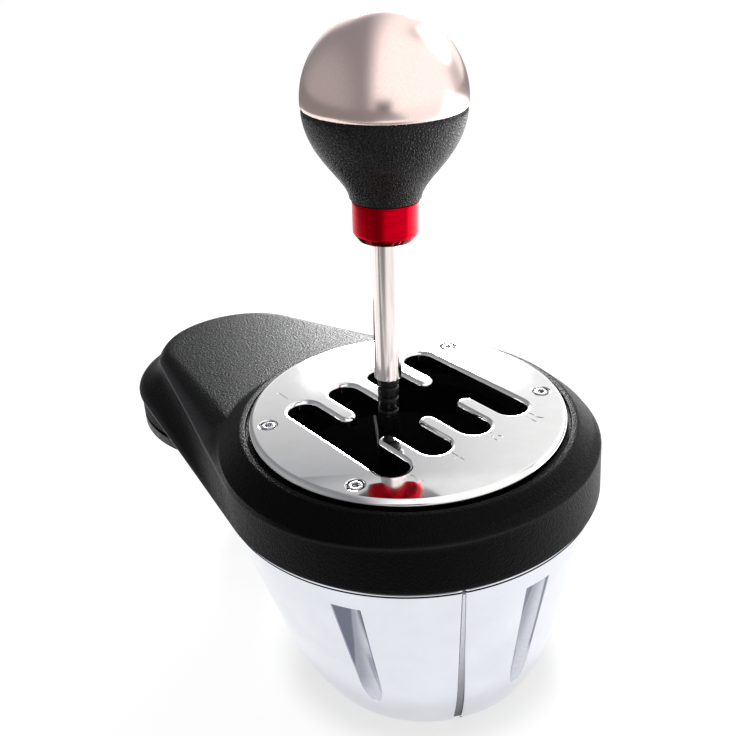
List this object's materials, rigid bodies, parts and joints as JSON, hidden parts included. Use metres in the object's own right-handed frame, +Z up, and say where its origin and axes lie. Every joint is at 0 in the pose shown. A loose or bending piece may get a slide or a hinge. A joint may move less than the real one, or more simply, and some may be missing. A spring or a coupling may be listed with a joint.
{
  "type": "gear shifter",
  "caption": "H-pattern gear shifter for a driving game: round knob on a lever, polished gate plate, bowl-shaped base and a tail with a desk clamp.",
  "frame": {"origin": "on the floor under the middle of the gate plate, on the base pad's lower face", "axes": "+Z up through the gate, +Y along the tail towards the desk, +X to the right of the driver"},
  "size_m": [0.132, 0.2125, 0.2314],
  "materials": {
    "black_plastic": "fine moulded grain, satin black",
    "bright_bowl": "bright plated, smooth",
    "polished_gate": "mirror polished steel",
    "screw_steel": "turned steel",
    "hidden_steel": "machined steel",
    "machined_aluminium": "machined",
    "bronze": "turned bronze",
    "nylon": "moulded nylon",
    "rubber": "matt moulded rubber",
    "circuit_board": "green solder mask",
    "chip_black": "moulded epoxy",
    "sleeve_black": "gloss black sleeve",
    "chrome_tube": "polished chrome",
    "red_collar": "red anodised, glossy",
    "knob_leather": "black leather grain",
    "satin_nickel": "satin brushed nickel"
  },
  "bodies": {
    "base": {"top_cover": "black_plastic", "gate_plate": "polished_gate", "gate_plate_screws": "screw_steel", "gate_backing_ring": "machined_aluminium", "bowl_right": "bright_bowl", "bowl_left": "bright_bowl", "seam_strips": "bright_bowl", "rim_ring": "machined_aluminium", "rim_set_screws": "hidden_steel", "base_plate": "hidden_steel", "base_pad": "rubber", "bowl_screws": "hidden_steel", "front_bearing_block": "machined_aluminium", "rear_bearing_block": "machined_aluminium", "front_bush": "bronze", "rear_bush": "bronze", "thrust_washers": "nylon", "bearing_block_screws": "hidden_steel", "sensor_board": "circuit_board", "sensor_chip": "chip_black", "board_screws": "hidden_steel", "cable_socket": "black_plastic", "centring_spring_left": "hidden_steel", "centring_spring_right": "hidden_steel", "tail_base_plate": "black_plastic", "tail_plate_screws": "hidden_steel", "tail_pad": "rubber", "clamp_bush": "bronze", "guide_pins": "hidden_steel"},
    "yoke": {"gimbal_yoke": "machined_aluminium", "lever_pin": "hidden_steel", "detent_plunger": "hidden_steel"},
    "lever": {"lever_hub": "machined_aluminium", "lever_rod": "hidden_steel", "gate_sleeve": "sleeve_black", "lever_tube": "chrome_tube", "knob_collar": "red_collar", "knob_grip": "knob_leather", "knob_cap": "satin_nickel", "knob_insert": "bronze", "magnet_holder": "black_plastic", "magnet": "hidden_steel"},
    "clamp_screw": {"clamp_screw": "hidden_steel", "clamp_knob": "black_plastic", "clamp_retaining_ring": "hidden_steel"},
    "jaw": {"clamp_jaw": "black_plastic", "jaw_pad": "rubber", "jaw_nut": "bronze"}
  },
  "joints": [
    {"name": "side_tilt", "type": "hinge", "parent": "base", "child": "yoke", "pos_m": [-0.0088, 0, 0.028], "axis": [0, 1, 0], "range_deg": [-14.3, 25.65], "stiffness_Nm_per_rad": 3, "deforming": ["centring_spring_left", "centring_spring_right"]},
    {"name": "fore_aft", "type": "hinge", "parent": "yoke", "child": "lever", "pos_m": [-0.0088, 0, 0.028], "axis": [1, 0, 0], "range_deg": [-15.5, 15.5]},
    {"name": "clamp_turn", "type": "hinge", "parent": "base", "child": "clamp_screw", "pos_m": [0, 0.0984, 0.04], "axis": [0, 0, 1], "range_deg": [0, 2612]},
    {"name": "jaw_slide", "type": "slide", "parent": "base", "child": "jaw", "axis": [0, 0, -1], "range_m": [0, 0.029]}
  ],
  "couplings": [
    {"joint": "clamp_turn", "follows": "jaw_slide", "rad_per_m": 1570.8}
  ]
}
